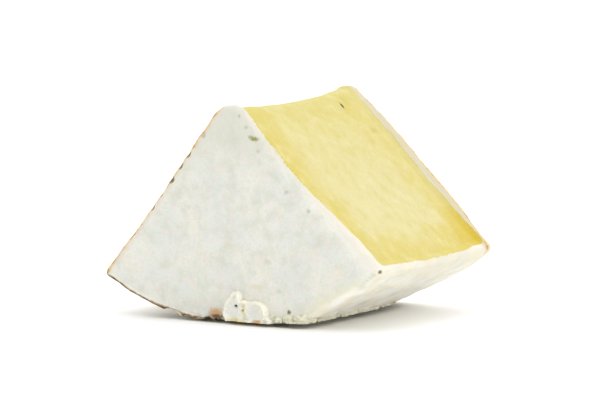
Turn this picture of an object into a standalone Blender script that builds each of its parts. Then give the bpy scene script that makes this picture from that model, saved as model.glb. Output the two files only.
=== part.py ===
"""A wedge of cured sheep cheese, lying on the curved rind of the small wheel that it was cut from.

Metres, +Z up. The wheel's axis runs along Y and one flat rind face looks along -Y. The origin is
under the middle of the wedge's box, on the surface that the wedge rests on. Until the last step
the wedge is shaped around the wheel's axis, which is then the line x = z = 0.
"""

import math
import random

import bmesh
import bpy
import numpy as np
from mathutils import Vector, noise

MM = 0.001
NODE = "cheese_wedge"

# The wheel and the two cuts
CUT_LENGTH = 92.9 * MM  # from the wheel's axis to its curved side, along a cut
WHEEL_HEIGHT = 92.0 * MM
OPENING = math.radians(83.5)  # between the two cuts
LEAN = math.radians(3.4)  # the wedge is rolled this far, with its right cut turned up
SIDE_RISE = 20.1 * MM  # of the curved side, over a straight line between its two corners
AXIS_HEIGHT = 89.0 * MM  # of the wheel's axis over the flat that the wedge rests on

# The heel where the soft cheese has slumped at the right end of that flat
HEEL_PLACE, HEEL_WIDTH, HEEL_DEPTH = 28 * MM, 7 * MM, 3.6 * MM
HEEL_FADES, HEEL_ENDS = 15 * MM, 48 * MM  # along the wheel's axis

# Rounded edges: the ridge between the cuts, a cut and the side, and the flat faces' rims
RIDGE_ROUND_FRONT, RIDGE_ROUND_BACK = 10.5 * MM, 6.0 * MM
CORNER_ROUND = 2.0 * MM
FRONT_ROUND_LEFT, FRONT_ROUND_RIGHT = 1.4 * MM, 5.5 * MM
FRONT_ROUND_START, FRONT_ROUND_END = -10 * MM, 32 * MM
BACK_ROUND = 4.5 * MM

# The paste sinks below the rind's lips, with a hollow that is deepest behind the middle
FRONT_LIP, BACK_LIP, SIDE_LIP = 2.8 * MM, 4.2 * MM, 2.6 * MM
LIP_RUN = 3.0 * MM
PASTE_STEP, PASTE_HOLLOW = 0.8 * MM, 1.1 * MM
HOLLOW_MIDDLE, HOLLOW_REACH = -3 * MM, 40 * MM
HOLLOW_FADING = 0.5  # share of the hollow that is gone at the curved side
BACK_LIP_RISE, BACK_LIP_RUN, BACK_LIP_START = 1.3 * MM, 7.0 * MM, 25 * MM
LEFT_CUT_BOW, BACK_FACE_BULGE = 0.2 * MM, 2.6 * MM
ARCH_POWER = 4  # even, and higher for a bow and a bulge with a broader middle

# Gentle unevenness of the hand-made cheese: size of a swell and how far it lifts the surface
SWELLS = ((26 * MM, 0.6 * MM), (9 * MM, 0.3 * MM))

# Cells of the cage across the wedge, along the wheel's axis and out from it
CELLS = (28, 22, 20)
CROWDING = 0.5  # from 0, even cells, to 1, cells crowded at the edges
CORE_SHARE, REACH, HALVINGS = 0.55, 1.5, 40
SLOPE_STEP = 0.05 * MM

# Torn rind low on the front face, as lobes in millimetres: x and height over the foot of the
# middle, then half sizes
FLAKE_LOBES = (
    ((1.2, 5.7), (4.6, 2.6, 4.9)),
    ((1.6, 9.8), (3.1, 1.9, 2.6)),
    ((10.6, 5.6), (6.6, 2.8, 4.6)),
    ((15.0, 3.6), (2.6, 2.0, 2.6)),
)
FLAKE_STANDS_OUT = 0.3 * MM  # of a lobe's middle, before the front face
LOBE_DETAIL, CRUMB_DETAIL = 2, 1  # subdivisions of an icosphere

# Crumbs where the rind meets the floor: first and last x and y, count, least and greatest radius
CRUMB_ROWS = (
    ((18 * MM, -45 * MM), (32 * MM, -44 * MM), 5, 1.2 * MM, 2.0 * MM),
    ((32 * MM, -41 * MM), (31 * MM, 34 * MM), 13, 1.2 * MM, 2.6 * MM),
    ((-15 * MM, -36 * MM), (-14 * MM, 38 * MM), 6, 1.0 * MM, 1.8 * MM),
)
CRUMB_SEED = 7
CRUMB_SUNK, CRUMB_STRETCH = 0.25, 1.5  # share of its radius inside the cheese, and of its length
CRUMB_GAP = 0.1  # least share of a crumb's stretch of the row that is left free at either end
CRUMB_LIFT = 0.2 * MM  # step in which a crumb is raised until it is sunk in the cheese
CRUMB_GROUND = 0.4 * MM  # least height of a crumb or lobe over the foot
RAGGEDNESS, RAG_WAVES = 0.22, 2  # of a lobe's or crumb's radius, and how finely it is ragged
RAG_SPREAD = 2.5 * MM  # lumps this far apart are ragged unlike each other

# Linear colours and roughness
RIND = ((0.80, 0.79, 0.70), 0.85)
PASTE = ((0.82, 0.73, 0.33), 0.50)


def smooth_step(value, start, end):
    """0 up to start, 1 from end on, and a smooth rise between them."""
    t = np.clip((value - start) / (end - start), 0, 1)
    return t * t * (3 - 2 * t)


def rounded(first, second, radius):
    """Distance to the solid that lies inside both surfaces, with their shared edge rounded."""
    past = np.hypot(np.maximum(first + radius, 0), np.maximum(second + radius, 0))
    return np.minimum(np.maximum(first, second), -radius) + past


def side_circle():
    """Centre and radius of the curved side's circle, seen along the wheel's axis."""
    half_chord = CUT_LENGTH * math.sin(OPENING / 2)
    radius = (half_chord**2 + SIDE_RISE**2) / (2 * SIDE_RISE)
    drop = CUT_LENGTH * math.cos(OPENING / 2) + SIDE_RISE - radius
    return drop * math.sin(LEAN), -drop * math.cos(LEAN), radius


def side_distance(x, y, z):
    """Distance out of the curved side, with the heel beside the foot."""
    centre_x, centre_z, radius = side_circle()
    heel = HEEL_DEPTH * np.exp(-(((x - HEEL_PLACE) / HEEL_WIDTH) ** 2) / 2)
    heel = heel * (1 - smooth_step(y, HEEL_FADES, HEEL_ENDS))
    return np.hypot(x - centre_x, z - centre_z) - radius - heel


def ridge_round(y):
    """Radius of the rounded ridge between the cuts, at a place along the wheel's axis."""
    back_share = np.clip(y / WHEEL_HEIGHT + 0.5, 0, 1)
    return RIDGE_ROUND_FRONT + (RIDGE_ROUND_BACK - RIDGE_ROUND_FRONT) * back_share


def cut_offset(y, from_axis, side):
    """How far a cut face lies inside its plane: sunken paste, and the back lip that stands proud."""
    behind_front = y + WHEEL_HEIGHT / 2
    before_back = WHEEL_HEIGHT / 2 - y
    paste = smooth_step(behind_front, FRONT_LIP, FRONT_LIP + LIP_RUN)
    paste = paste * smooth_step(before_back, BACK_LIP, BACK_LIP + LIP_RUN)
    paste = paste * smooth_step(-side, SIDE_LIP, SIDE_LIP + LIP_RUN)
    hollow = np.clip(1 - ((y - HOLLOW_MIDDLE) / HOLLOW_REACH) ** 2, 0, 1)
    fading = 1 - HOLLOW_FADING * (from_axis / CUT_LENGTH) ** 2
    lip = BACK_LIP_RISE * (1 - smooth_step(before_back, 0, BACK_LIP_RUN))
    lip = lip * smooth_step(from_axis, 0, BACK_LIP_START)
    return paste * (PASTE_STEP + PASTE_HOLLOW * hollow * fading) - lip


def wedge_distance(x, y, z):
    """Distance out of the wedge's surface, below zero inside it."""
    from_axis = np.hypot(x, z)
    arch = 1 - (2 * np.clip(from_axis / CUT_LENGTH, 0, 1) - 1) ** ARCH_POWER
    side = side_distance(x, y, z)
    offset = cut_offset(y, from_axis, side)
    left_turn, right_turn = LEAN - OPENING / 2, LEAN + OPENING / 2
    left = -x * math.cos(left_turn) - z * math.sin(left_turn) + offset + LEFT_CUT_BOW * arch
    right = x * math.cos(right_turn) + z * math.sin(right_turn) + offset
    section = rounded(rounded(left, right, ridge_round(y)), side, CORNER_ROUND)
    front = -y - WHEEL_HEIGHT / 2
    back = y - WHEEL_HEIGHT / 2 - BACK_FACE_BULGE * arch
    rightward = smooth_step(x, FRONT_ROUND_START, FRONT_ROUND_END)
    front_round = FRONT_ROUND_LEFT + (FRONT_ROUND_RIGHT - FRONT_ROUND_LEFT) * rightward
    return rounded(rounded(section, front, front_round), back, BACK_ROUND)


def crowd(value):
    """Moves values from -1 to 1 closer to the ends, where the edges need more cells."""
    return (1 - CROWDING) * value + CROWDING * np.sin(value * np.pi / 2)


def lay_out(cage):
    """Places of cage points, given from -1 to 1 across, along and up, in a simple wedge.

    Its top is the rounded ridge, its bottom the curved side, and all other edges are sharp.
    """
    across, along, up = (crowd(cage[:, axis]) for axis in range(3))
    y = along * WHEEL_HEIGHT / 2
    turn = LEAN + across * OPENING / 2
    centre_x, centre_z, radius = side_circle()
    toward = centre_x * np.sin(turn) - centre_z * np.cos(turn)
    to_side = toward + np.sqrt(toward**2 - centre_x**2 - centre_z**2 + radius**2)
    side_x, side_z = to_side * np.sin(turn), -to_side * np.cos(turn)
    top_turn = across * (np.pi - OPENING) / 2 - LEAN
    drop = ridge_round(y) / math.sin(OPENING / 2)
    top_x = drop * math.sin(LEAN) + ridge_round(y) * np.sin(top_turn)
    top_z = -drop * math.cos(LEAN) + ridge_round(y) * np.cos(top_turn)
    down = (1 - up) / 2
    return np.stack((top_x + (side_x - top_x) * down, y, top_z + (side_z - top_z) * down), axis=1)


def onto_surface(cage):
    """Moves cage points onto the wedge's surface, each along its own line out of the core."""
    core = lay_out(cage * CORE_SHARE)
    outward = lay_out(cage) - core
    near, far = np.zeros(len(cage)), np.full(len(cage), REACH)
    for _ in range(HALVINGS):
        middle = (near + far) / 2
        inside = wedge_distance(*(core + outward * middle[:, None]).T) < 0
        near, far = np.where(inside, middle, near), np.where(inside, far, middle)
    return core + outward * near[:, None]


def outward_normals(points):
    """Directions in which the distance grows fastest."""
    slopes = []
    for axis in range(3):
        shift = np.zeros(3)
        shift[axis] = SLOPE_STEP
        slopes.append(wedge_distance(*(points + shift).T) - wedge_distance(*(points - shift).T))
    normals = np.stack(slopes, axis=1)
    return normals / np.linalg.norm(normals, axis=1, keepdims=True)


def swelling(points):
    """Height of the unevenness at each point."""
    heights = np.zeros(len(points))
    for size, height in SWELLS:
        waves = [noise.noise(Vector(point) / size) for point in points]
        heights += height * np.array(waves)
    return heights


def get_points(mesh):
    """The mesh's vertices as rows of x, y and z."""
    values = np.empty(len(mesh.vertices) * 3)
    mesh.vertices.foreach_get("co", values)
    return values.reshape(-1, 3)


def set_points(mesh, points):
    """Moves the mesh's vertices to the rows of x, y and z."""
    mesh.vertices.foreach_set("co", points.ravel())
    mesh.update()


def make_cage():
    """A cube from -1 to 1 whose faces are cut into cells."""
    cage = bmesh.new()
    bmesh.ops.create_cube(cage, size=2)
    for axis, cells in enumerate(CELLS):
        along = [e for e in cage.edges if abs((e.verts[0].co - e.verts[1].co)[axis]) > 1]
        bmesh.ops.subdivide_edges(cage, edges=along, cuts=cells - 1, use_grid_fill=True)
    mesh = bpy.data.meshes.new(NODE)
    cage.to_mesh(mesh)
    cage.free()
    return mesh


def make_material(name, look):
    """A Principled material from a linear colour and a roughness."""
    colour, roughness = look
    material = bpy.data.materials.new(name)
    material.use_nodes = True
    shader = material.node_tree.nodes["Principled BSDF"]
    shader.inputs["Base Color"].default_value = (*colour, 1)
    shader.inputs["Roughness"].default_value = roughness
    material.diffuse_color = (*colour, 1)
    return material


def paint_paste(mesh, points):
    """Gives the paste's material to the cut faces inside the lips."""
    for face in mesh.polygons:
        x, y, z = points[list(face.vertices)].mean(axis=0)
        between_lips = -WHEEL_HEIGHT / 2 + FRONT_LIP < y < WHEEL_HEIGHT / 2 - BACK_LIP
        inside_side = side_distance(x, y, z) < -SIDE_LIP
        face.material_index = int(between_lips and inside_side)


def make_wedge(collection):
    """The body of the wedge, with its foot cut flat."""
    mesh = make_cage()
    points = onto_surface(get_points(mesh))
    points += outward_normals(points) * swelling(points)[:, None]
    points[:, 2] = np.maximum(points[:, 2], -AXIS_HEIGHT)
    set_points(mesh, points)
    mesh.materials.append(make_material("bloomy_rind", RIND))
    mesh.materials.append(make_material("yellow_paste", PASTE))
    paint_paste(mesh, points)
    mesh.shade_smooth()
    wedge = bpy.data.objects.new(NODE, mesh)
    collection.objects.link(wedge)
    return wedge


def make_lump(name, centre, half_sizes, subdivisions, collection):
    """A ragged lump of cheese that stays clear of the floor."""
    lump = bmesh.new()
    bmesh.ops.create_icosphere(lump, subdivisions=subdivisions, radius=1)
    for vertex in lump.verts:
        ragged = 1 + RAGGEDNESS * noise.noise(vertex.co * RAG_WAVES + centre / RAG_SPREAD)
        vertex.co = centre + vertex.co * Vector(half_sizes) * ragged
        vertex.co.z = max(vertex.co.z, CRUMB_GROUND - AXIS_HEIGHT)
    mesh = bpy.data.meshes.new(name)
    lump.to_mesh(mesh)
    lump.free()
    mesh.materials.append(bpy.data.materials["bloomy_rind"])
    collection.objects.link(bpy.data.objects.new(name, mesh))


def make_flake(collection):
    """The torn flap of rind that sticks to the front face just above its bottom edge."""
    for number, ((x, height), half_sizes) in enumerate(FLAKE_LOBES):
        y = -WHEEL_HEIGHT / 2 - FLAKE_STANDS_OUT
        centre = Vector((x * MM, y, height * MM - AXIS_HEIGHT))
        sizes = [size * MM for size in half_sizes]
        make_lump(f"flake_{number}", centre, sizes, LOBE_DETAIL, collection)


def make_crumbs(collection):
    """Crumbs pressed out along the bottom of the front face and beside the foot."""
    draw = random.Random(CRUMB_SEED)
    for row, (first, last, count, least, greatest) in enumerate(CRUMB_ROWS):
        for number in range(count):
            share = (number + draw.uniform(CRUMB_GAP, 1 - CRUMB_GAP)) / count
            x, y = (a + (b - a) * share for a, b in zip(first, last))
            radius = draw.uniform(least, greatest)
            place = np.array([[x, y, -AXIS_HEIGHT]])
            while wedge_distance(*place.T)[0] > -CRUMB_SUNK * radius:
                place[0, 2] += CRUMB_LIFT
            sizes = (radius, radius * draw.uniform(1, CRUMB_STRETCH), radius)
            make_lump(f"crumb_{row}_{number}", Vector(place[0]), sizes, CRUMB_DETAIL, collection)


def fuse(body, bits):
    """Joins the collection's lumps to the body in one union, and removes them."""
    union = body.modifiers.new("fused bits", "BOOLEAN")
    union.operation = "UNION"
    union.operand_type = "COLLECTION"
    union.collection = bits
    graph = bpy.context.evaluated_depsgraph_get()
    fused = bpy.data.meshes.new_from_object(body.evaluated_get(graph), depsgraph=graph)
    body.modifiers.remove(union)
    body.data = fused
    for lump in list(bits.objects):
        bpy.data.objects.remove(lump)
    bpy.data.collections.remove(bits)


def put_on_origin(body):
    """Moves the mesh so that the origin is under the middle of its box, at the foot."""
    points = get_points(body.data)
    low, high = points.min(axis=0), points.max(axis=0)
    middle = (low + high) / 2
    set_points(body.data, points - (middle[0], middle[1], -AXIS_HEIGHT))
    body.data.name = NODE


def main():
    for old in list(bpy.data.objects):
        bpy.data.objects.remove(old)
    cheese = bpy.data.collections.new("sheep cheese")
    bits = bpy.data.collections.new("fused bits")
    for collection in (cheese, bits):
        bpy.context.scene.collection.children.link(collection)
    wedge = make_wedge(cheese)
    make_flake(bits)
    make_crumbs(bits)
    fuse(wedge, bits)
    put_on_origin(wedge)


main()
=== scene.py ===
"""Looks of a wedge of cured sheep cheese: bloomy white rind, pale yellow paste, crumbs and wear.

Metres, +Z up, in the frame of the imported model. Until it is put on the origin, every piece is
shaped around the wheel's axis, which is then the line x = z = 0, with the front face at -Y.
"""

import math
import random
from typing import NamedTuple

import bmesh
import bpy
import numpy as np
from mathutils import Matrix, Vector, noise


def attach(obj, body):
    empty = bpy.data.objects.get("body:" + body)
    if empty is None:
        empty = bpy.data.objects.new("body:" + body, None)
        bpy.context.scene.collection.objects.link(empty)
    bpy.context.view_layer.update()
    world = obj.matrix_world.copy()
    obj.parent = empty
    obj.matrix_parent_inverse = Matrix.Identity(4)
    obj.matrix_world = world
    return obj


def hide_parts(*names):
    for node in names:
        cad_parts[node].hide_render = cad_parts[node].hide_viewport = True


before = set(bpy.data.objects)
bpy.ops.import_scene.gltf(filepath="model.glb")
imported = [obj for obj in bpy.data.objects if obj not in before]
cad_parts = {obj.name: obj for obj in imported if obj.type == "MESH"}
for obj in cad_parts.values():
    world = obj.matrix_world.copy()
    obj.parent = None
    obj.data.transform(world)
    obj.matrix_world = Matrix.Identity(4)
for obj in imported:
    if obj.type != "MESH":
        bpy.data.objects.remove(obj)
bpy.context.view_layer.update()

MM = 0.001
NODE = "cheese_wedge"

# The wheel and the two cuts
CUT_LENGTH = 92.9 * MM
WHEEL_HEIGHT = 92.0 * MM
OPENING = math.radians(83.5)
LEAN = math.radians(3.4)
SIDE_RISE = 20.1 * MM
AXIS_HEIGHT = 89.0 * MM

# The heel where the soft cheese has slumped beside the flat that it rests on
HEEL_PLACE, HEEL_WIDTH, HEEL_DEPTH = 28 * MM, 7 * MM, 3.6 * MM
HEEL_FADES, HEEL_ENDS = 15 * MM, 48 * MM

# Rounded edges
RIDGE_ROUND_FRONT, RIDGE_ROUND_BACK = 10.5 * MM, 6.0 * MM
CORNER_ROUND = 2.0 * MM
TIP_ROUND, TIP_START, TIP_END = 3.2 * MM, 20 * MM, 44 * MM  # the side's edges near the back
FRONT_ROUND_LEFT, FRONT_ROUND_RIGHT = 1.4 * MM, 5.5 * MM
FRONT_ROUND_START, FRONT_ROUND_END = -10 * MM, 32 * MM
BACK_ROUND, LOW_BACK_ROUND, LOW_BACK_REACH = 4.5 * MM, 2.5 * MM, 8 * MM

# Sunken paste and the rind's lips
FRONT_LIP, BACK_LIP, SIDE_LIP = 1.4 * MM, 4.3 * MM, 2.7 * MM
FRONT_LIP_GAIN, FRONT_LIP_START, FRONT_LIP_END = 3.6 * MM, 42 * MM, 84 * MM  # wider to the bottom
BACK_LIP_LOSS, BACK_LIP_NARROWS, BACK_LIP_NARROW = 1.5 * MM, 70 * MM, 86 * MM
SIDE_LIP_LOSS, SIDE_LIP_REACH = 1.2 * MM, 46 * MM  # narrower halfway along
SIDE_LIP_GAIN, SIDE_LIP_START, SIDE_LIP_END = 1.6 * MM, 15 * MM, 42 * MM  # wider to the back
LIP_RUN = 3.0 * MM
PASTE_FRONT_CORNER, PASTE_BACK_CORNER = 4.0 * MM, 1.6 * MM
LIP_WAVES = ((0.16 * MM, 6.1 * MM), (0.10 * MM, 2.6 * MM), (0.07 * MM, 1.1 * MM))
PASTE_STEP, PASTE_HOLLOW = 0.8 * MM, 1.1 * MM
HOLLOW_MIDDLE, HOLLOW_REACH = -3 * MM, 40 * MM
HOLLOW_FADING = 0.5
BACK_LIP_RISE, BACK_LIP_RUN, BACK_LIP_START = 1.3 * MM, 7.0 * MM, 25 * MM
LEFT_CUT_BOW, BACK_FACE_BULGE = 0.2 * MM, 2.6 * MM
ARCH_POWER = 4
PASTE_EDGE = 0.06  # share of the lip's run at which rind turns to paste

# Unevenness: size of a swell and how far it lifts the surface
SWELLS = ((26 * MM, 0.6 * MM), (9 * MM, 0.3 * MM))
RIND_GRAIN = ((4.5 * MM, 0.26 * MM), (1.9 * MM, 0.11 * MM))
PASTE_GRAIN = ((5.0 * MM, 0.14 * MM), (1.7 * MM, 0.05 * MM))
STREAK_LENGTH, STREAK_WIDTH, STREAK_HEIGHT = 16 * MM, 2.4 * MM, 0.06 * MM

# Cube that is laid onto the surface: its cells across, along and up, how much they crowd to the
# edges, how large the core is that its lines start from, and how far and finely they are followed
CELLS = (150, 120, 110)
CROWDING = 0.4
CORE_SHARE, REACH, HALVINGS = 0.55, 1.5, 40
SLOPE_STEP = 0.05 * MM  # half the distance over which a slope is measured


def srgb(red, green, blue):
    """Linear colour of an 8-bit screen colour."""
    shares = [value / 255 for value in (red, green, blue)]
    return [s / 12.92 if s <= 0.04045 else ((s + 0.055) / 1.055) ** 2.4 for s in shares]


def smooth_step(value, start, end):
    """0 up to start, 1 from end on, and a smooth rise between them."""
    t = np.clip((value - start) / (end - start), 0, 1)
    return t * t * (3 - 2 * t)


def rounded(first, second, radius):
    """Distance to the solid that lies inside both surfaces, with their shared edge rounded."""
    past = np.hypot(np.maximum(first + radius, 0), np.maximum(second + radius, 0))
    return np.minimum(np.maximum(first, second), -radius) + past


def side_circle():
    """Centre and radius of the curved side's circle, seen along the wheel's axis."""
    half_chord = CUT_LENGTH * math.sin(OPENING / 2)
    radius = (half_chord**2 + SIDE_RISE**2) / (2 * SIDE_RISE)
    drop = CUT_LENGTH * math.cos(OPENING / 2) + SIDE_RISE - radius
    return drop * math.sin(LEAN), -drop * math.cos(LEAN), radius


def side_distance(x, y, z):
    """Distance out of the curved side, with the heel beside the foot."""
    centre_x, centre_z, radius = side_circle()
    heel = HEEL_DEPTH * np.exp(-(((x - HEEL_PLACE) / HEEL_WIDTH) ** 2) / 2)
    heel = heel * (1 - smooth_step(y, HEEL_FADES, HEEL_ENDS))
    return np.hypot(x - centre_x, z - centre_z) - radius - heel


def ridge_round(y):
    """Radius of the rounded ridge between the cuts, at a place along the wheel's axis."""
    back_share = np.clip(y / WHEEL_HEIGHT + 0.5, 0, 1)
    return RIDGE_ROUND_FRONT + (RIDGE_ROUND_BACK - RIDGE_ROUND_FRONT) * back_share


def corner_round(y):
    """Radius of the edges between the curved side and the cuts, at a place along the axis."""
    return CORNER_ROUND + (TIP_ROUND - CORNER_ROUND) * smooth_step(y, TIP_START, TIP_END)


def back_round(side):
    """Radius of the back face's edge, smaller close to the curved side."""
    return BACK_ROUND + (LOW_BACK_ROUND - BACK_ROUND) * smooth_step(side, -LOW_BACK_REACH, 0)


def lip_wave(place, phase):
    """Unevenness of a lip's width along its length."""
    return sum(height * np.sin(place / size + phase * size / MM) for height, size in LIP_WAVES)


def lip_depths(y, from_axis, side):
    """Distance past the front, back and side lips into the paste, below zero on the rind."""
    front_lip = FRONT_LIP + FRONT_LIP_GAIN * smooth_step(from_axis, FRONT_LIP_START, FRONT_LIP_END)
    back_lip = BACK_LIP - BACK_LIP_LOSS * smooth_step(from_axis, BACK_LIP_NARROWS, BACK_LIP_NARROW)
    side_lip = SIDE_LIP - SIDE_LIP_LOSS * np.clip(1 - (y / SIDE_LIP_REACH) ** 2, 0, 1)
    side_lip = side_lip + SIDE_LIP_GAIN * smooth_step(y, SIDE_LIP_START, SIDE_LIP_END)
    front = y + WHEEL_HEIGHT / 2 - front_lip - lip_wave(from_axis, 1)
    back = WHEEL_HEIGHT / 2 - y - back_lip - lip_wave(from_axis, 2)
    return front, back, -side - side_lip - lip_wave(y, 3)


def paste_inset(y, from_axis, side):
    """Distance inside the paste's outline, whose low corners are rounded."""
    front, back, low = lip_depths(y, from_axis, side)
    return -rounded(rounded(-front, -low, PASTE_FRONT_CORNER), -back, PASTE_BACK_CORNER)


def cut_offset(y, from_axis, side):
    """How far a cut face lies inside its plane: sunken paste, and the back lip that stands proud."""
    before_back = WHEEL_HEIGHT / 2 - y
    paste = smooth_step(paste_inset(y, from_axis, side), 0, LIP_RUN)
    hollow = np.clip(1 - ((y - HOLLOW_MIDDLE) / HOLLOW_REACH) ** 2, 0, 1)
    fading = 1 - HOLLOW_FADING * (from_axis / CUT_LENGTH) ** 2
    lip = BACK_LIP_RISE * (1 - smooth_step(before_back, 0, BACK_LIP_RUN))
    lip = lip * smooth_step(from_axis, 0, BACK_LIP_START)
    return paste * (PASTE_STEP + PASTE_HOLLOW * hollow * fading) - lip


def outer_surfaces(x, y, z):
    """Distances out of the left cut, right cut, curved side, front and back, and the front's round."""
    from_axis = np.hypot(x, z)
    arch = 1 - (2 * np.clip(from_axis / CUT_LENGTH, 0, 1) - 1) ** ARCH_POWER
    side = side_distance(x, y, z)
    offset = cut_offset(y, from_axis, side)
    left_turn, right_turn = LEAN - OPENING / 2, LEAN + OPENING / 2
    left = -x * math.cos(left_turn) - z * math.sin(left_turn) + offset + LEFT_CUT_BOW * arch
    right = x * math.cos(right_turn) + z * math.sin(right_turn) + offset
    front = -y - WHEEL_HEIGHT / 2
    back = y - WHEEL_HEIGHT / 2 - BACK_FACE_BULGE * arch
    rightward = smooth_step(x, FRONT_ROUND_START, FRONT_ROUND_END)
    front_round = FRONT_ROUND_LEFT + (FRONT_ROUND_RIGHT - FRONT_ROUND_LEFT) * rightward
    return left, right, side, front, back, front_round


def wedge_distance(x, y, z):
    """Distance out of the wedge's surface, below zero inside it."""
    left, right, side, front, back, front_round = outer_surfaces(x, y, z)
    section = rounded(rounded(left, right, ridge_round(y)), side, corner_round(y))
    return rounded(rounded(section, front, front_round), back, back_round(side))


def from_edge(first, second, radius, turn):
    """Distance over the surface from a line along the rounded edge between two surfaces.

    The line lies where the edge has turned that far from the second surface to the first.
    """
    first_share, second_share = radius + first, radius + second
    turned = np.arctan2(np.maximum(first_share, 0), np.maximum(second_share, 0))
    beyond = radius * np.pi / 4 + np.maximum(-first_share, -second_share)
    in_round = (first_share > 0) & (second_share > 0)
    return np.where(in_round, radius * np.abs(turned - turn), beyond)


def from_worn_edges(x, y, z):
    """Distance over the surface from the edges with brown wear: those of the left cut and the back."""
    left, right, side, front, back, front_round = outer_surfaces(x, y, z)
    middle, near_cut = math.radians(45), math.radians(13)
    distances = [
        from_edge(front, left, front_round, middle),
        from_edge(side, left, corner_round(y), middle),
        from_edge(back, left, BACK_ROUND, near_cut),
        from_edge(back, right, BACK_ROUND, near_cut),
        from_edge(back, side, back_round(side), near_cut),
    ]
    return np.minimum.reduce(distances)


def crowd(value):
    """Moves values from -1 to 1 closer to the ends, where the edges need more cells."""
    return (1 - CROWDING) * value + CROWDING * np.sin(value * np.pi / 2)


def lay_out(cage):
    """Places of cage points, given from -1 to 1 across, along and up, in a simple wedge.

    Its top is the rounded ridge, its bottom the curved side, and all other edges are sharp.
    """
    across, along, up = (crowd(cage[:, axis]) for axis in range(3))
    y = along * WHEEL_HEIGHT / 2
    turn = LEAN + across * OPENING / 2
    centre_x, centre_z, radius = side_circle()
    toward = centre_x * np.sin(turn) - centre_z * np.cos(turn)
    to_side = toward + np.sqrt(toward**2 - centre_x**2 - centre_z**2 + radius**2)
    side_x, side_z = to_side * np.sin(turn), -to_side * np.cos(turn)
    top_turn = across * (np.pi - OPENING) / 2 - LEAN
    drop = ridge_round(y) / math.sin(OPENING / 2)
    top_x = drop * math.sin(LEAN) + ridge_round(y) * np.sin(top_turn)
    top_z = -drop * math.cos(LEAN) + ridge_round(y) * np.cos(top_turn)
    down = (1 - up) / 2
    return np.stack((top_x + (side_x - top_x) * down, y, top_z + (side_z - top_z) * down), axis=1)


def onto_surface(cage):
    """Moves cage points onto the wedge's surface, each along its own line out of the core."""
    core = lay_out(cage * CORE_SHARE)
    outward = lay_out(cage) - core
    near, far = np.zeros(len(cage)), np.full(len(cage), REACH)
    for _ in range(HALVINGS):
        middle = (near + far) / 2
        inside = wedge_distance(*(core + outward * middle[:, None]).T) < 0
        near, far = np.where(inside, middle, near), np.where(inside, far, middle)
    return core + outward * near[:, None]


def outward_normals(points):
    """Directions in which the distance grows fastest."""
    slopes = []
    for axis in range(3):
        shift = np.zeros(3)
        shift[axis] = SLOPE_STEP
        slopes.append(wedge_distance(*(points + shift).T) - wedge_distance(*(points - shift).T))
    normals = np.stack(slopes, axis=1)
    return normals / np.linalg.norm(normals, axis=1, keepdims=True)


def waves(points, size, scale=(1, 1, 1), shift=0.0):
    """Smooth noise at each point, whose waves have the given size along each stretched axis."""
    places = points * np.array(scale) / size + shift
    return np.array([noise.noise(Vector(place)) for place in places])


def unevenness(points, steps, shift=0.0):
    """Sum of several waves, given as size and height."""
    return sum(height * waves(points, size, shift=shift) for size, height in steps)


def get_points(mesh):
    """The mesh's vertices as rows of x, y and z."""
    values = np.empty(len(mesh.vertices) * 3)
    mesh.vertices.foreach_get("co", values)
    return values.reshape(-1, 3)


def set_points(mesh, points):
    """Moves the mesh's vertices to the rows of x, y and z."""
    mesh.vertices.foreach_set("co", points.ravel())
    mesh.update()


def store(mesh, name, values):
    """Keeps a number for each vertex, for the materials to read."""
    mesh.attributes.new(name, "FLOAT", "POINT").data.foreach_set("value", values.astype(np.float32))


# Dark chips along the left edge of the front face, in millimetres: distance from the wheel's axis,
# half length, half width and depth
EDGE_CHIPS = (
    (30.6, 1.7, 0.9, 0.30),
    (36.4, 1.9, 0.9, 0.30),
    (43.4, 1.9, 1.2, 0.35),
    (51.2, 1.3, 0.7, 0.25),
    (57.8, 1.6, 0.8, 0.30),
    (71.5, 1.1, 0.6, 0.20),
)
CHIP_INSET = 0.5 * MM  # how far inside the edge their middles lie
CHIP_WRAP = 1.5  # half widths that they reach to each side
CHIP_SLOPE = (0.5, 1.3)  # shares of a chip's size between which its wall rises

# Crumbly band of the rind along the contact, on both sides of the foot
FOOT_MIDDLE = 8 * MM
CONTACT_SLOPE = (1.95 * MM, 6.5 * MM)  # heights over the foot between which it fades out
CONTACT_START, CONTACT_FULL = 12 * MM, 18 * MM  # to each side of the foot's middle
CONTACT_FADES, CONTACT_ENDS = -2 * MM, 16 * MM
CONTACT_GRAIN = ((3.6 * MM, 1.5 * MM), (1.7 * MM, 1.0 * MM), (0.9 * MM, 0.4 * MM))

# Thin gap under the front and right edge of the foot, which leaves that edge ragged
GAP_HEIGHT, GAP_DEPTH, GAP_END = 2.7 * MM, 9.0 * MM, 16.0 * MM
GAP_SIDE_START, GAP_SIDE_END = 18 * MM, 24 * MM
GAP_LEFT_START, GAP_LEFT_END = -26 * MM, 0 * MM
GAP_GRAIN = ((5.0 * MM, 0.7), (1.8 * MM, 0.5), (0.8 * MM, 0.25))

# Small round eyes in the paste of both cuts
EYE_COUNT, EYE_SEED = 26, 11
EYE_LEAST, EYE_GREATEST = 0.5 * MM, 1.1 * MM
EYE_DEPTH = 0.8
EYE_SLOPE = (0.3, 1.3)
EYES_ACROSS, EYES_ALONG = (0.05, 0.85), (-0.4, 0.38)  # shares of a cut that they lie in

# Where each grain is read from the noise, so that no two are alike
RIND_SHIFT, PASTE_SHIFT, CONTACT_SHIFT, GAP_SHIFT = 3.0, 7.0, 5.0, 2.0
PASTE_FADE = (-0.5 * MM, 1.0 * MM)  # where the rind's grain gives way to the paste's


def on_cut(from_axis, y, side=1):
    """A point on the right cut's plane, or on the left one's where side is -1."""
    turn = LEAN + side * OPENING / 2
    return np.array([from_axis * math.sin(turn), y, -from_axis * math.cos(turn)])


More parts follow.
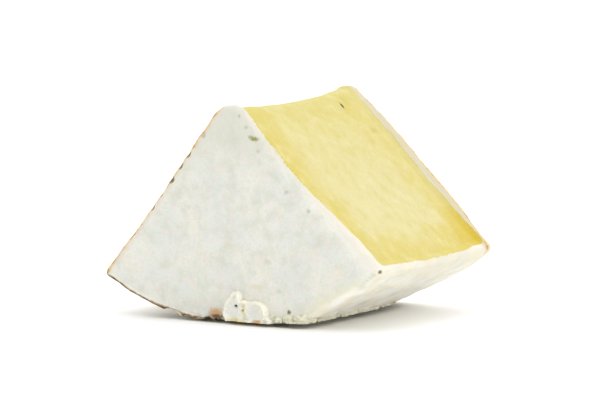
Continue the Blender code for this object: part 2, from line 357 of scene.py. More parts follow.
def edge_chips(points):
    """From 0 to 1, how far in a chip of the left front edge each point is, and the chip's depth."""
    chips = np.zeros(len(points))
    depth = np.zeros(len(points))
    turn = LEAN - OPENING / 2
    along = points @ np.array([math.sin(turn), 0, -math.cos(turn)])
    across = points @ np.array([math.cos(turn), 0, math.sin(turn)]) - CHIP_INSET
    behind = points[:, 1] + WHEEL_HEIGHT / 2
    for place, half_length, half_width, deep in EDGE_CHIPS:
        lengthwise = (along - place * MM) / (half_length * MM)
        sideways = np.hypot(across, behind) / (half_width * CHIP_WRAP * MM)
        inside = 1 - smooth_step(np.hypot(lengthwise, sideways), *CHIP_SLOPE)
        chips = np.maximum(chips, inside)
        depth = np.maximum(depth, inside * deep * MM)
    return chips, depth


def eyes(points):
    """Depth of the small round holes in the paste."""
    draw = random.Random(EYE_SEED)
    depth = np.zeros(len(points))
    for number in range(EYE_COUNT):
        side = 1 if number % 2 else -1
        from_axis = CUT_LENGTH * math.sqrt(draw.uniform(*EYES_ACROSS))
        middle = on_cut(from_axis, WHEEL_HEIGHT * draw.uniform(*EYES_ALONG), side)
        radius = draw.uniform(EYE_LEAST, EYE_GREATEST)
        away = np.linalg.norm(points - middle, axis=1) / (radius * 2)
        depth = np.maximum(depth, EYE_DEPTH * radius * (1 - smooth_step(away, *EYE_SLOPE)))
    return depth


def contact_share(x, y, z):
    """From 0 to 1, how far each point lies in the crumbly band beside the foot."""
    share = 1 - smooth_step(z + AXIS_HEIGHT, *CONTACT_SLOPE)
    share = share * smooth_step(np.abs(x - FOOT_MIDDLE), CONTACT_START, CONTACT_FULL)
    return share * (1 - smooth_step(y, CONTACT_FADES, CONTACT_ENDS))


def relief(points, paste):
    """Height of swells, grain, eyes and crumbly band, where paste is 1 on paste and 0 on rind."""
    x, y, z = points.T
    from_axis = np.hypot(x, z)
    flattened = np.stack((from_axis, y, np.zeros(len(points))), axis=1)
    stretch = (STREAK_WIDTH / STREAK_LENGTH, 1, 1)
    rind_grain = unevenness(points, RIND_GRAIN, RIND_SHIFT)
    paste_grain = unevenness(points, PASTE_GRAIN, PASTE_SHIFT)
    paste_grain += STREAK_HEIGHT * waves(flattened, STREAK_WIDTH, stretch) - eyes(points)
    heights = unevenness(points, SWELLS) + rind_grain * (1 - paste) + paste_grain * paste
    return heights + contact_share(x, y, z) * unevenness(points, CONTACT_GRAIN, CONTACT_SHIFT)


def gap_height(points):
    """Height of the thin gap under the front and right edge of the foot."""
    x, y = points[:, 0], points[:, 1]
    share = 1 - smooth_step(y + WHEEL_HEIGHT / 2, GAP_DEPTH, GAP_END)
    share = np.maximum(share, smooth_step(x, GAP_SIDE_START, GAP_SIDE_END))
    share = share * smooth_step(x, GAP_LEFT_START, GAP_LEFT_END)
    return GAP_HEIGHT * share * np.clip(1 + unevenness(points, GAP_GRAIN, GAP_SHIFT), 0, 2)


def make_cage(cell_counts):
    """A cube from -1 to 1 whose faces are cut into cells."""
    cage = bmesh.new()
    bmesh.ops.create_cube(cage, size=2)
    for axis, cells in enumerate(cell_counts):
        along = [e for e in cage.edges if abs((e.verts[0].co - e.verts[1].co)[axis]) > 1]
        if cells > 1:
            bmesh.ops.subdivide_edges(cage, edges=along, cuts=cells - 1, use_grid_fill=True)
    mesh = bpy.data.meshes.new(NODE)
    cage.to_mesh(mesh)
    cage.free()
    return mesh


def make_wedge():
    """The wedge with its fine relief, and the distances in millimetres that its material reads."""
    mesh = make_cage(CELLS)
    smooth = onto_surface(get_points(mesh))
    x, y, z = smooth.T
    from_axis = np.hypot(x, z)
    side = side_distance(x, y, z)
    inset = paste_inset(y, from_axis, side) - PASTE_EDGE * LIP_RUN
    chips, chip_depth = edge_chips(smooth)
    heights = relief(smooth, smooth_step(inset, *PASTE_FADE)) - chip_depth
    points = smooth + outward_normals(smooth) * heights[:, None]
    points[:, 2] = np.maximum(points[:, 2], gap_height(points) - AXIS_HEIGHT)
    set_points(mesh, points)
    mesh.shade_smooth()

    left, right = outer_surfaces(*points.T)[:2]
    distances = {
        "inset": inset,
        "from_axis": from_axis,
        "height": z + AXIS_HEIGHT,
        "behind_side": -side,
        "behind_cuts": -np.maximum(left, right),
        "behind_front": points[:, 1] + WHEEL_HEIGHT / 2,
        "before_back": WHEEL_HEIGHT / 2 + BACK_FACE_BULGE - points[:, 1],
        "from_edges": from_worn_edges(*points.T),
    }
    for name, distance in distances.items():
        store(mesh, name, distance / MM)
    store(mesh, "chips", chips)
    return bpy.data.objects.new("wedge", mesh)


# Torn rind low on the front face, as flat lobes in millimetres: x and height over the foot of the
# middle, then half width and half height
FLAKE_LOBES = (
    ((3.0, 5.0), (4.9, 6.4)),
    ((3.6, 10.8), (2.7, 2.3)),
    ((7.6, 7.8), (3.0, 2.2)),
    ((8.2, 3.0), (4.0, 3.2)),
    ((12.6, 4.7), (5.4, 4.9)),
    ((17.2, 2.2), (2.8, 1.9)),
)
FLAKE_BOX = ((-4.5, 21.5), (1.4, 14.5))  # the patch that holds it: x, then height over the foot
FLAKE_CELLS = (170, 1, 96)
FLAKE_STANDS_OUT, FLAKE_SINKS_IN, FLAKE_ROOT = 2.0, 1.2, 4.0
FLAKE_WALL, FLAKE_SKIRT = (-0.1, 0.6), (-0.5, 0.1)  # from the outline inwards, where each rises
FLAKE_RIM, FLAKE_RIM_PLACE, FLAKE_RIM_WIDTH = 0.75, 0.95, 0.55
FLAKE_BOWL, FLAKE_BOWL_START, FLAKE_BOWL_END = 0.75, 1.2, 3.6
FLAKE_OUTLINE_WAVES = ((3.2, 0.55), (1.3, 0.38), (0.6, 0.2))  # length and height
FLAKE_FACE_WAVES = ((2.2, 0.3), (0.9, 0.2), (0.45, 0.1))
FLAKE_OUTLINE_SHIFT, FLAKE_FACE_SHIFT = 11.0, 4.0
FLAKE_HOLE = (3.7, 7.3)
HOLE_RADIUS, HOLE_DEPTH = 0.55, 1.3
FAR_OUTSIDE = -10.0

# Crumbs where the rind meets the floor: first and last x and y, count, least and greatest radius
CRUMB_ROWS = (
    ((18 * MM, -45 * MM), (33 * MM, -44 * MM), 8, 1.5 * MM, 2.7 * MM),
    ((33 * MM, -41 * MM), (32 * MM, 12 * MM), 10, 1.6 * MM, 3.0 * MM),
    ((-15 * MM, -36 * MM), (-14 * MM, 38 * MM), 6, 1.0 * MM, 1.8 * MM),
)
FINE_CRUMB_ROWS = (
    ((15 * MM, -45.0 * MM), (34 * MM, -43.5 * MM), 22, 0.7 * MM, 1.9 * MM),
    ((32.5 * MM, -43 * MM), (31.5 * MM, 12 * MM), 28, 0.6 * MM, 2.1 * MM),
    ((31.0 * MM, 14 * MM), (27 * MM, 44 * MM), 20, 0.4 * MM, 0.9 * MM),
    ((-15 * MM, -42 * MM), (-14 * MM, 44 * MM), 30, 0.5 * MM, 1.3 * MM),
)
CRUMB_SEED, FINE_CRUMB_SEED = 7, 19
CRUMB_ROUNDNESS, FINE_CRUMB_ROUNDNESS = 4, 3  # subdivisions of each kind
CRUMB_DRIFT = 1.9 * MM  # how far a fine crumb lies from its row
CRUMB_SUNK, CRUMB_STRETCH = 0.4, 2.1  # radii that it is sunk in, and its greatest length
CRUMB_GAP = 0.1  # share of its stretch of the row that stays free at each end
CRUMB_LIFT = 0.2 * MM  # step by which it is raised until it is sunk in the cheese
CRUMB_GROUND = 1.9 * MM
CRUMB_WAVES = ((1.2, 0.50), (2.8, 0.38), (6.0, 0.20))  # how many to a radius, and their height
CRUMB_SPREAD = 1.5 * MM  # distance over which the waves change from crumb to crumb


def add_crumb(lumps, centre, half_sizes, subdivisions):
    """A ragged crumb that stays clear of the floor."""
    made = bmesh.ops.create_icosphere(lumps, subdivisions=subdivisions, radius=1)
    seed = centre / CRUMB_SPREAD
    for vertex in made["verts"]:
        turn = vertex.co.copy()
        ragged = 1 + sum(h * noise.noise(turn * n + seed) for n, h in CRUMB_WAVES)
        vertex.co = centre + turn * Vector(half_sizes) * ragged
        vertex.co.z = max(vertex.co.z, CRUMB_GROUND - AXIS_HEIGHT)


def place_on_cheese(x, y, radius):
    """The point above the foot where a crumb of that radius is sunk in the cheese."""
    place = np.array([[x, y, -AXIS_HEIGHT]])
    while wedge_distance(*place.T)[0] > -CRUMB_SUNK * radius:
        place[0, 2] += CRUMB_LIFT
    return Vector(place[0])


def add_crumb_rows(lumps, rows, seed, drift, subdivisions):
    """Crumbs along straight rows, each a random step to the side of its row."""
    draw = random.Random(seed)
    for first, last, count, least, greatest in rows:
        sideways = abs(last[0] - first[0]) > abs(last[1] - first[1])
        for number in range(count):
            share = (number + draw.uniform(CRUMB_GAP, 1 - CRUMB_GAP)) / count
            x, y = (a + (b - a) * share for a, b in zip(first, last))
            radius = draw.uniform(least, greatest)
            if drift:
                x += draw.uniform(-drift, drift)
            length = radius * draw.uniform(1, CRUMB_STRETCH)
            sizes = (length, radius, radius) if sideways else (radius, length, radius)
            add_crumb(lumps, place_on_cheese(x, y, radius), sizes, subdivisions)


def make_crumbs():
    """Crumbs pressed out along the bottom of the front face and beside the foot."""
    lumps = bmesh.new()
    add_crumb_rows(lumps, CRUMB_ROWS, CRUMB_SEED, 0, CRUMB_ROUNDNESS)
    add_crumb_rows(lumps, FINE_CRUMB_ROWS, FINE_CRUMB_SEED, CRUMB_DRIFT, FINE_CRUMB_ROUNDNESS)
    mesh = bpy.data.meshes.new("contact_crumbs")
    lumps.to_mesh(mesh)
    lumps.free()
    mesh.shade_smooth()
    return bpy.data.objects.new("contact_crumbs", mesh)


def make_flake():
    """The torn flap of rind that sticks to the front face just above its bottom edge."""
    mesh = make_cage(FLAKE_CELLS)
    cage = get_points(mesh)
    (left, right), (bottom, top) = FLAKE_BOX
    x = left + (cage[:, 0] + 1) / 2 * (right - left)
    height = bottom + (cage[:, 2] + 1) / 2 * (top - bottom)
    places = np.stack((x, height, np.zeros(len(x))), axis=1)
    within = np.full(len(x), FAR_OUTSIDE)
    for (middle_x, middle_height), (half_width, half_height) in FLAKE_LOBES:
        reach = np.hypot((x - middle_x) / half_width, (height - middle_height) / half_height)
        within = np.maximum(within, (1 - reach) * min(half_width, half_height))
    within = within + unevenness(places, FLAKE_OUTLINE_WAVES, FLAKE_OUTLINE_SHIFT)
    rim = FLAKE_RIM * np.exp(-(((within - FLAKE_RIM_PLACE) / FLAKE_RIM_WIDTH) ** 2))
    bowl = FLAKE_BOWL * smooth_step(within, FLAKE_BOWL_START, FLAKE_BOWL_END)
    out = FLAKE_STANDS_OUT * smooth_step(within, *FLAKE_WALL) + rim - bowl
    out += unevenness(places, FLAKE_FACE_WAVES, FLAKE_FACE_SHIFT) * smooth_step(within, 0, 1)
    out -= FLAKE_SINKS_IN * (1 - smooth_step(within, *FLAKE_SKIRT))
    hole = np.hypot(x - FLAKE_HOLE[0], height - FLAKE_HOLE[1]) / HOLE_RADIUS
    out -= HOLE_DEPTH * np.exp(-(hole**2))
    y = np.where(cage[:, 1] < 0, -out, FLAKE_ROOT) * MM - WHEEL_HEIGHT / 2
    set_points(mesh, np.stack((x * MM, y, height * MM - AXIS_HEIGHT), axis=1))
    store(mesh, "within", within)
    mesh.shade_smooth()
    return bpy.data.objects.new("torn_flake", mesh)


class Band(NamedTuple):
    """Where a colour shows: from its least at start to its strength at end of a named number.

    Where ragged isn't 0, a named noise first swings the number by up to half of that either way.
    """

    number: str
    start: float
    end: float
    strength: float = 1.0
    least: float = 0.0
    ragged: float = 0.0
    noise: str = "patches"


class Shader:
    """A material's node tree, with short names for the nodes used here.

    Colours are 8-bit screen colours, and numbers are sockets by name.
    """

    def __init__(self, name, origin=(0, 0, 0)):
        self.material = bpy.data.materials.new(name)
        self.material.use_nodes = True
        self.tree = self.material.node_tree
        self.surface = self.tree.nodes["Principled BSDF"]
        self.place = self.node("ShaderNodeTexCoord").outputs["Object"]
        self.own_place = self.vector("ADD", self.place, origin)  # about the wheel's axis

    def node(self, kind, **settings):
        made = self.tree.nodes.new(kind)
        for name, value in settings.items():
            setattr(made, name, value)
        return made

    def put(self, socket, value):
        """Links a socket to another, or sets it to a number, a vector or a colour."""
        if isinstance(value, bpy.types.NodeSocket):
            self.tree.links.new(value, socket)
        elif socket.type == "RGBA":
            socket.default_value = (*srgb(*value), 1)
        else:
            socket.default_value = value

    def attribute(self, name):
        return self.node("ShaderNodeAttribute", attribute_name=name).outputs["Fac"]

    def math(self, operation, first, second):
        made = self.node("ShaderNodeMath", operation=operation)
        self.put(made.inputs[0], first)
        self.put(made.inputs[1], second)
        return made.outputs[0]

    def vector(self, operation, first, second=(0, 0, 0)):
        """Result of two vectors: a number for a length or a dot product, or else a vector."""
        made = self.node("ShaderNodeVectorMath", operation=operation)
        self.put(made.inputs[0], first)
        self.put(made.inputs[1], second)
        return made.outputs["Value" if operation in ("LENGTH", "DOT_PRODUCT") else "Vector"]

    def millimetres(self, place, axis):
        """One coordinate of a place, in millimetres."""
        made = self.node("ShaderNodeSeparateXYZ")
        self.put(made.inputs[0], place)
        return self.math("DIVIDE", made.outputs[axis], MM)

    def combine(self, first, second):
        """A vector from two numbers."""
        made = self.node("ShaderNodeCombineXYZ")
        self.put(made.inputs[0], first)
        self.put(made.inputs[1], second)
        return made.outputs[0]

    def between(self, value, start, end, low=0.0, high=1.0):
        """Smooth rise from low to high as value goes from start to end."""
        made = self.node("ShaderNodeMapRange", interpolation_type="SMOOTHSTEP")
        for socket, part in zip(made.inputs, (value, start, end, low, high)):
            self.put(socket, part)
        return made.outputs[0]

    def mix(self, share, first, second):
        """First colour where share is 0, second where it is 1."""
        made = self.node("ShaderNodeMix", data_type="RGBA")
        for socket, value in ((0, share), (6, first), (7, second)):
            self.put(made.inputs[socket], value)
        return made.outputs[2]

    def mix_number(self, share, first, second):
        """First number where share is 0, second where it is 1."""
        made = self.node("ShaderNodeMix", data_type="FLOAT")
        for socket, value in ((0, share), (2, first), (3, second)):
            self.put(made.inputs[socket], value)
        return made.outputs[0]

    def noise(self, size, detail, roughness, shift=(0, 0, 0), distortion=0.0, place=None):
        """Noise from 0 to 1 whose waves are about as long as size."""
        made = self.node("ShaderNodeTexNoise")
        settings = {
            "Vector": self.vector("ADD", place or self.place, shift),
            "Scale": 1 / size,
            "Detail": detail,
            "Roughness": roughness,
            "Distortion": distortion,
        }
        for name, value in settings.items():
            self.put(made.inputs[name], value)
        return made.outputs["Fac"]

    def noises(self, kinds):
        """Noises by name, each from what noise() takes."""
        return {name: self.noise(*kind) for name, kind in kinds.items()}

    def swing(self, noise_value, height):
        """Turns noise from 0 to 1 into a number that swings evenly to both sides of 0."""
        return self.math("MULTIPLY", self.math("SUBTRACT", noise_value, 0.5), height)

    def shown(self, band, numbers):
        """How strongly a band shows, from 0 to 1."""
        number = numbers[band.number]
        if band.ragged:
            number = self.math("ADD", number, self.swing(numbers[band.noise], band.ragged))
        return self.between(number, band.start, band.end, band.least, band.strength)

    def lay(self, colour, layers, numbers):
        """Lays colours over one another, each only where all of its bands show."""
        for added, *bands in layers:
            share = 1.0
            for band in bands:
                share = self.math("MULTIPLY", share, self.shown(band, numbers))
            colour = self.mix(share, colour, added)
        return colour

    def dab(self, colour, added, middle, half_sizes, strength, wobble, softness=0.5):
        """Puts a ragged spot of colour round a point given about the wheel's axis."""
        away = self.vector("SUBTRACT", self.own_place, middle)
        away = self.vector("MULTIPLY", away, [1 / size for size in half_sizes])
        reach = self.math("ADD", self.vector("LENGTH", away), self.swing(wobble, DAB_WOBBLE))
        share = self.between(reach, 1 - softness, 1 + softness, strength, 0.0)
        return self.mix(share, colour, added)

    def bump(self, height, distance, strength):
        """Fine relief from a number, as high as distance."""
        made = self.node("ShaderNodeBump")
        for name, value in (("Height", height), ("Distance", distance), ("Strength", strength)):
            self.put(made.inputs[name], value)
        return made.outputs["Normal"]

    def finish(self, colour, roughness, depth, normal):
        """Sets the surface, which lets light in a little way, as cheese does."""
        settings = {
            "Base Color": colour,
            "Roughness": roughness,
            "Normal": normal,
            "Specular IOR Level": SHEEN,
            "Subsurface Weight": LIGHT_SHARE,
            "Subsurface Radius": LIGHT_REACH,
            "Subsurface Scale": depth,
        }
        for name, value in settings.items():
            self.put(self.surface.inputs[name], value)
        return self.material


# Light in the cheese: the share that goes in, and how far red, green and blue go in
SHEEN, LIGHT_SHARE, LIGHT_REACH = 0.35, 0.3, (1.0, 0.75, 0.45)
RIND_ROUGHNESS, PASTE_ROUGHNESS, TORN_ROUGHNESS = 0.88, 0.55, 0.85
WEDGE_LIGHT_DEPTH, TORN_LIGHT_DEPTH = 2.5 * MM, 1.5 * MM
WEDGE_BUMP, TORN_BUMP = (0.3 * MM, 0.9), (0.25 * MM, 0.8)  # height and strength
PASTE_BUMP_SHARE = 0.45
DAB_WOBBLE = 1.2

# Screen colours of the rind
RIND_COOL, RIND_WARM, RIND_GREY = (233, 235, 229), (241, 240, 230), (217, 218, 203)
RIND_CREAM, RIND_PINK, RIND_GREEN = (242, 235, 216), (243, 229, 229), (222, 232, 208)
# The second colour on the next line is painted light: near white for the low part of the curved side.
RIND_BRIM, SIDE_PAINTED_LIGHT, RIND_DIRT = (229, 226, 196), (252, 249, 240), (238, 229, 198)
# The first colour on the next line is painted shade for the very bottom, where the rind meets the
# floor.
RIND_CONTACT_SHADE, SIDE_CREAM, SIDE_STAIN = (186, 176, 138), (217, 214, 197), (232, 223, 194)
LIP_WHITE, LIP_CREAM = (227, 221, 208), (204, 195, 164)
RIM_WARM, RIM_BROWN, RIM_DARK = (226, 182, 104), (156, 114, 58), (90, 70, 32)
CHIP_OLIVE = (132, 106, 40)

# Screen colours of the paste
PASTE_PALE, PASTE_YELLOW, PASTE_GOLD = (208, 198, 142), (203, 186, 95), (204, 186, 68)
PASTE_AMBER, PASTE_GREEN, PASTE_CREAM = (199, 172, 16), (195, 184, 78), (219, 213, 166)
PASTE_OCHRE = (196, 178, 68)
# The dark colour on the next line is painted shade inside the slit.
SLIT_BROWN, SLIT_SHADE = (190, 150, 60), (52, 38, 12)

# Screen colours of the torn rind and the crumbs
FLAKE_CREAM, FLAKE_WHITE, FLAKE_YELLOW = (239, 235, 217), (238, 239, 232), (222, 202, 128)
# The second colour on the next line is painted shade for the hole in the torn flake.
FLAKE_ORANGE, FLAKE_HOLE_SHADE, CRUMB_CREAM = (214, 160, 92), (74, 70, 46), (232, 226, 192)

# Noises of each material: size of the waves, detail, roughness, shift and distortion
RIND_NOISES = {
    "broad": (17 * MM, 3, 0.6),
    "patches": (7.5 * MM, 5, 0.68),
    "creams": (9 * MM, 2, 0.5, (0.3, 0.1, 0.2)),
    "tints": (2.6 * MM, 2, 0.6, (0.1, 0.4, 0.3)),
    "fine": (1.0 * MM, 3, 0.7),
    "wobble": (0.9 * MM, 3, 0.7),
    "broken": (3.5 * MM, 3, 0.65),
    "spots": (2.3 * MM, 2, 0.5),
}
PASTE_NOISES = {
    "broad": (12 * MM, 3, 0.55),
    "patches": (4.5 * MM, 3, 0.6, (0, 0, 0), 0.5),
    "small": (1.4 * MM, 3, 0.7),
    "blots": (6.0 * MM, 4, 0.55, (0.2, 0.1, 0.5)),
}
WEDGE_NOISES = {
    "border": (1.3 * MM, 3, 0.65),
    "velvet": (0.5 * MM, 4, 0.75),
    "pores": (1.7 * MM, 3, 0.65),
    "grain": (0.8 * MM, 3, 0.65),
}
TORN_NOISES = {"broad": (3.2 * MM, 3, 0.6), "fine": (0.7 * MM, 3, 0.7)}

# Numbers that make_wedge stored in the mesh
STORED = (
    "inset",
    "from_axis",
    "height",
    "behind_side",
    "behind_cuts",
    "behind_front",
    "before_back",
    "from_edges",
    "chips",
)
PASTE_BORDER = Band("inset", -0.2, 0.3, ragged=1.3, noise="border")

# Layers of each colour, from the first one laid on, with distances in millimetres
ON_SIDE = Band("behind_side", 2.5, 0.8)
RIND_LAYERS = (
    (RIND_WARM, Band("broad", 0.35, 0.65)),
    (RIND_GREY, Band("patches", 0.42, 0.72, 0.75)),
    (RIND_CREAM, Band("creams", 0.55, 0.75, 0.6)),
    (RIND_PINK, Band("tints", 0.5, 0.7, 0.5)),
    (RIND_GREEN, Band("tints", 0.45, 0.25, 0.5)),
    (RIND_GREY, Band("fine", 0.4, 0.75, 0.45)),
    (RIND_GREY, Band("height", 45, 75, 0.55, ragged=40)),
    (LIP_WHITE, Band("behind_cuts", 3.4, 0.8, 0.75, ragged=3)),
    (LIP_CREAM, Band("before_back", 9, 6, ragged=3), Band("behind_cuts", 3, 1, 0.85)),
    (
        RIND_BRIM,
        Band("behind_side", 7.5, 1.5, 0.6, ragged=6),
        Band("height", 26, 14),
        Band("x", 4.2, 16.2),
    ),
    (
        SIDE_CREAM,
        Band("behind_side", 3, 0.8, ragged=1.5),
        Band("height", 9, 21, ragged=8),
        Band("before_back", 75, 25, 0.9, least=0.25),
    ),
    # Painted light: the low part of the curved side, which faces the floor and lies in shade, made
    # near white
    (SIDE_PAINTED_LIGHT, ON_SIDE, Band("height", 26, 9, 0.9, ragged=18)),
    (SIDE_STAIN, ON_SIDE, Band("creams", 0.42, 0.62, 0.5)),
    (RIND_GREY, ON_SIDE, Band("patches", 0.5, 0.7, 0.5)),
    (RIND_DIRT, ON_SIDE, Band("height", 4, 0.5, 0.7, ragged=6)),
    # Painted shade: darker brown at the very bottom, standing in for the contact shadow on the floor
    (
        RIND_CONTACT_SHADE,
        Band("height", 1.3, 0.5, ragged=1.6, noise="fine"),
        Band("patches", 0.3, 0.6, 0.8, least=0.2),
    ),
)
# Worn edges, then a brown line with a dark middle along the low left edge of the front, then the chips
ON_LEFT = Band("x", -4, -14)
EDGE_LAYERS = (
    (RIM_WARM, Band("from_edges", 1.3, 0.3, 0.7, ragged=-2.4, noise="broken")),
    (RIM_BROWN, Band("from_spots", 0.6, 0.1, 0.75, ragged=-2.4, noise="broken")),
    (RIM_BROWN, ON_LEFT, Band("from_low_edge", 1.7, 0.9, 0.85, ragged=-1.8, noise="broken")),
    (RIM_DARK, ON_LEFT, Band("from_low_edge", 1.1, 0.5, 0.9, ragged=-1.8, noise="broken")),
    (CHIP_OLIVE, Band("chips", 0.25, 0.6, 0.75, ragged=0.8, noise="wobble")),
    (RIM_DARK, Band("chips", 0.8, 1.1, 0.75, ragged=0.8, noise="wobble")),
)
SPOT_THRESHOLD = (0.57, 0.45)  # noise values between which the brown spots fade out
PASTE_LAYERS = (
    (PASTE_YELLOW, Band("depth", 22, 4, 0.9, ragged=16)),
    (PASTE_GOLD, Band("depth", 4.5, 0, 0.45, ragged=16)),
    (PASTE_YELLOW, Band("from_axis", 62, 12, 0.35, ragged=30, noise="broad")),
    (PASTE_GREEN, Band("from_axis", 30, 4, 0.4, ragged=40)),
    (PASTE_CREAM, Band("blots", 0.45, 0.80, 0.42)),
    (PASTE_OCHRE, Band("blots", 0.50, 0.25, 0.36)),
    (PASTE_PALE, Band("before_back", 22, 9, 0.45), Band("from_axis", 78, 58)),
)
PASTE_DEPTH_SWING = 16.0  # how far the broad noise swings the depth in the paste
STREAK_LAYERS = (
    (PASTE_CREAM, Band("streaks", 0.5, 0.75, 0.18)),
    (PASTE_GOLD, Band("streaks", 0.5, 0.25, 0.15)),
    (PASTE_CREAM, Band("small", 0.5, 0.75, 0.22)),
    (PASTE_OCHRE, Band("small", 0.48, 0.25, 0.22)),
)
# Painted shade: the slit's dark core stands in for the shade inside a thin crack
SLIT_LAYERS = (
    (SLIT_BROWN, Band("slit", 6, 1.2, 0.35)),
    (SLIT_SHADE, Band("slit", 1.4, 0.7)),
)
TORN_LAYERS = (
    (FLAKE_CREAM, Band("broad", 0.35, 0.65)),
    (FLAKE_YELLOW, Band("height", 2.2, 0.2, 0.75, ragged=3, noise="broad")),
    (RIND_GREY, Band("fine", 0.5, 0.8, 0.2)),
)
FLAKE_LAYERS = (
    (FLAKE_WHITE, Band("within", 1.2, 2.4, 0.7)),
    (FLAKE_CREAM, Band("within", 1.6, 0.7, 0.5)),
    (FLAKE_YELLOW, Band("within", 0.3, -0.2, 0.3)),
)
CRUMB_LAYERS = ((CRUMB_CREAM, Band("height", 6, 2, 0.8, least=0.4)),)

# Marks on the front face: x and height over the foot, half width and half height in millimetres,
# screen colour and strength
FRONT_MARKS = (
    (11.3, 71.7, 1.8, 0.8, (150, 152, 72), 0.9),
    (9.8, 72.4, 1.2, 0.6, (168, 170, 110), 0.7),
    (25.5, 52.0, 0.9, 0.7, (190, 192, 162), 0.6),
    (35.2, 45.2, 0.8, 0.8, (184, 184, 156), 0.6),
    (26.9, 6.3, 0.8, 0.8, (112, 110, 78), 0.9),
    (22.4, 13.9, 1.1, 0.9, (202, 206, 204), 0.5),
    (17.3, 24.8, 1.6, 1.1, (206, 206, 178), 0.5),
    (-0.6, 30.2, 1.8, 1.4, (216, 217, 190), 0.5),
    (12.6, 15.0, 3.0, 1.0, (228, 219, 192), 0.5),
    (4.6, 80.2, 0.6, 0.7, (178, 178, 160), 0.5),
    (13.2, 67.0, 0.8, 0.6, (196, 192, 180), 0.5),
    (-11.4, 72.6, 0.9, 1.3, (156, 166, 164), 0.6),
    (-6.3, 3.6, 3.0, 2.1, (205, 158, 98), 0.85),
    (-5.6, 2.4, 2.8, 0.9, (104, 74, 42), 0.9),
    (-56.4, 17.4, 1.3, 1.3, (96, 68, 32), 0.9),
    # Painted shade: these five dabs make a faint olive line down-left from the dark dot, along the
    # crease between the front face and the curved side
    (62.8, 22.1, 1.1, 0.9, (184, 180, 146), 0.5),
    (61.4, 21.0, 1.1, 0.9, (190, 186, 152), 0.5),
    (60.0, 19.9, 1.1, 0.9, (194, 190, 156), 0.45),
    (58.6, 18.8, 1.1, 0.9, (198, 194, 160), 0.4),
    (57.2, 17.7, 1.1, 0.9, (204, 200, 168), 0.35),
    (7.6, 76.0, 0.9, 0.6, (192, 192, 170), 0.6),
)
FLAKE_MARKS = (
    # Painted shade in the hole of the flake
    (3.7, 7.3, 0.6, 0.5, FLAKE_HOLE_SHADE, 1.0),
    (13.6, 1.8, 2.0, 0.7, FLAKE_ORANGE, 0.8),
    (4.2, 1.8, 3.4, 0.9, FLAKE_YELLOW, 0.7),
    (7.9, 5.4, 0.7, 2.6, FLAKE_YELLOW, 0.5),
)
# How far in front of the face the middles of both kinds lie, and how far they reach along the axis
FRONT_MARK_OUT, FRONT_MARK_REACH = 0.0, 3 * MM
FLAKE_MARK_OUT, FLAKE_MARK_REACH = 2 * MM, 6 * MM

# Dark dot by the right corner, painted shade of a small hole, and the deep yellow of the paste's low
# back corner
DOT_PLACE, DOT_SIZES = Vector((64.6, -42.5, -65.5)) * MM, (0.7 * MM, 0.9 * MM, 0.7 * MM)
DOT_SHADE, DOT_STRENGTH = (92, 98, 74), 0.9
AMBER_FROM_AXIS, AMBER_Y, AMBER_REACH = 86 * MM, 42 * MM, 12 * MM
AMBER_STRENGTH, AMBER_SOFTNESS = 0.9, 0.9

# Slit high in the right cut's paste, drawn in colour alone with a dark core of painted shade, and how
# deep its colour goes
SLIT_FROM_AXIS, SLIT_Y = 12.1 * MM, 26.3 * MM
SLIT_HALF_LENGTH, SLIT_HALF_WIDTH, SLIT_REACH = 1.25 * MM, 0.55 * MM, 6 * MM

# Streaks of the paste in millimetres, and their noise, for which each streak is one unit long
PASTE_STREAK_LENGTH, PASTE_STREAK_WIDTH = 9.0, 2.2
STREAK_NOISE = (1.0, 3, 0.65)


def add_marks(shader, colour, marks, out, reach, wobble):
    """Adds spots that lie that far out of the front face and reach that far along the axis."""
    for x, height, half_width, half_height, added, strength in marks:
        middle = (x * MM, -WHEEL_HEIGHT / 2 - out, height * MM - AXIS_HEIGHT)
        half_sizes = (half_width * MM, reach, half_height * MM)
        colour = shader.dab(colour, added, middle, half_sizes, strength, wobble)
    return colour


def rind_colour(shader, stored):
    """Mottled white bloom, whiter on the lips, dirtier low down, near white low on the curved side as
    painted light and darker at the very bottom as painted shade, with marks, chips and worn edges.
    """
    numbers = {**stored, **shader.noises(RIND_NOISES)}
    spots = shader.between(numbers["spots"], *SPOT_THRESHOLD)
    numbers["from_spots"] = shader.math("ADD", stored["from_edges"], spots)
    edges = (stored["behind_front"], stored["behind_side"])
    numbers["from_low_edge"] = shader.math("MAXIMUM", *edges)
    wobble = numbers["wobble"]
    colour = shader.lay(RIND_COOL, RIND_LAYERS, numbers)
    colour = add_marks(shader, colour, FRONT_MARKS, FRONT_MARK_OUT, FRONT_MARK_REACH, wobble)
    colour = shader.dab(colour, DOT_SHADE, DOT_PLACE, DOT_SIZES, DOT_STRENGTH, wobble)
    return shader.lay(colour, EDGE_LAYERS, numbers)


def slit_reach(shader):
    """Square of the distance from the slit's middle, as a share of its size."""
    turn = LEAN + OPENING / 2
    axes = (
        (Vector((math.sin(turn), 0, -math.cos(turn))), SLIT_HALF_LENGTH),
        (Vector((0, 1, 0)), SLIT_HALF_WIDTH),
        (Vector((math.cos(turn), 0, math.sin(turn))), SLIT_REACH),
    )
    away = shader.vector("SUBTRACT", shader.own_place, on_cut(SLIT_FROM_AXIS, SLIT_Y))
    reach = 0.0
    for axis, size in axes:
        share = shader.vector("DOT_PRODUCT", away, axis / size)
        reach = shader.math("ADD", reach, shader.math("MULTIPLY", share, share))
    return reach


